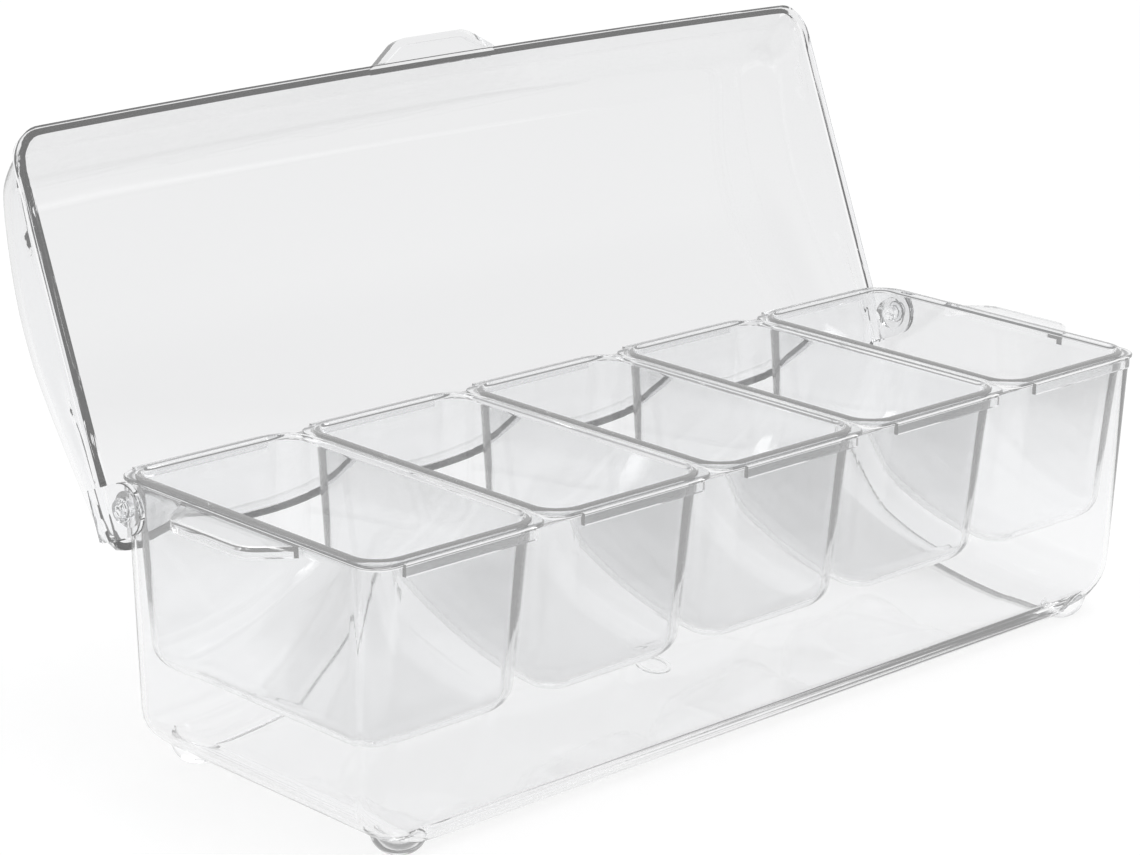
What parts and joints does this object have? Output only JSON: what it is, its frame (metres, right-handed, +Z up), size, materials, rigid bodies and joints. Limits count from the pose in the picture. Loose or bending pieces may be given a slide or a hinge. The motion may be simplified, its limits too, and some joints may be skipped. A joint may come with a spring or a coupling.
{
  "type": "condiment caddy",
  "caption": "Clear plastic condiment caddy: a deep tray with end handles holds a row of lift-out bins under a domed lid hinged along the back.",
  "frame": {"origin": "middle of the tray on the table, at the height of the feet's undersides", "axes": "+X along the row of bins to the viewer's right, +Y towards the hinge side, +Z up"},
  "size_m": [0.4288, 0.2133, 0.2314],
  "materials": {
    "tray_plastic": "clear, polished",
    "bin_plastic": "clear, polished",
    "lid_plastic": "clear, polished",
    "pin_plastic": "clear, polished"
  },
  "bodies": {
    "base": {"tray": "tray_plastic", "pin_left": "pin_plastic", "pin_right": "pin_plastic"},
    "cover": {"lid": "lid_plastic"},
    "bin_1_body": {"bin_1": "bin_plastic"},
    "bin_2_body": {"bin_2": "bin_plastic"},
    "bin_3_body": {"bin_3": "bin_plastic"},
    "bin_4_body": {"bin_4": "bin_plastic"},
    "bin_5_body": {"bin_5": "bin_plastic"}
  },
  "joints": [
    {"name": "lid_hinge", "type": "hinge", "parent": "base", "child": "cover", "pos_m": [0, 0.0596, 0.09785], "axis": [-1, 0, 0], "range_deg": [-112.2, 0]},
    {"name": "bin_1_lift", "type": "slide", "parent": "base", "child": "bin_1_body", "axis": [0, 0, 1], "range_m": [0, 0.072]},
    {"name": "bin_2_lift", "type": "slide", "parent": "base", "child": "bin_2_body", "axis": [0, 0, 1], "range_m": [0, 0.072]},
    {"name": "bin_3_lift", "type": "slide", "parent": "base", "child": "bin_3_body", "axis": [0, 0, 1], "range_m": [0, 0.072]},
    {"name": "bin_4_lift", "type": "slide", "parent": "base", "child": "bin_4_body", "axis": [0, 0, 1], "range_m": [0, 0.072]},
    {"name": "bin_5_lift", "type": "slide", "parent": "base", "child": "bin_5_body", "axis": [0, 0, 1], "range_m": [0, 0.072]}
  ]
}
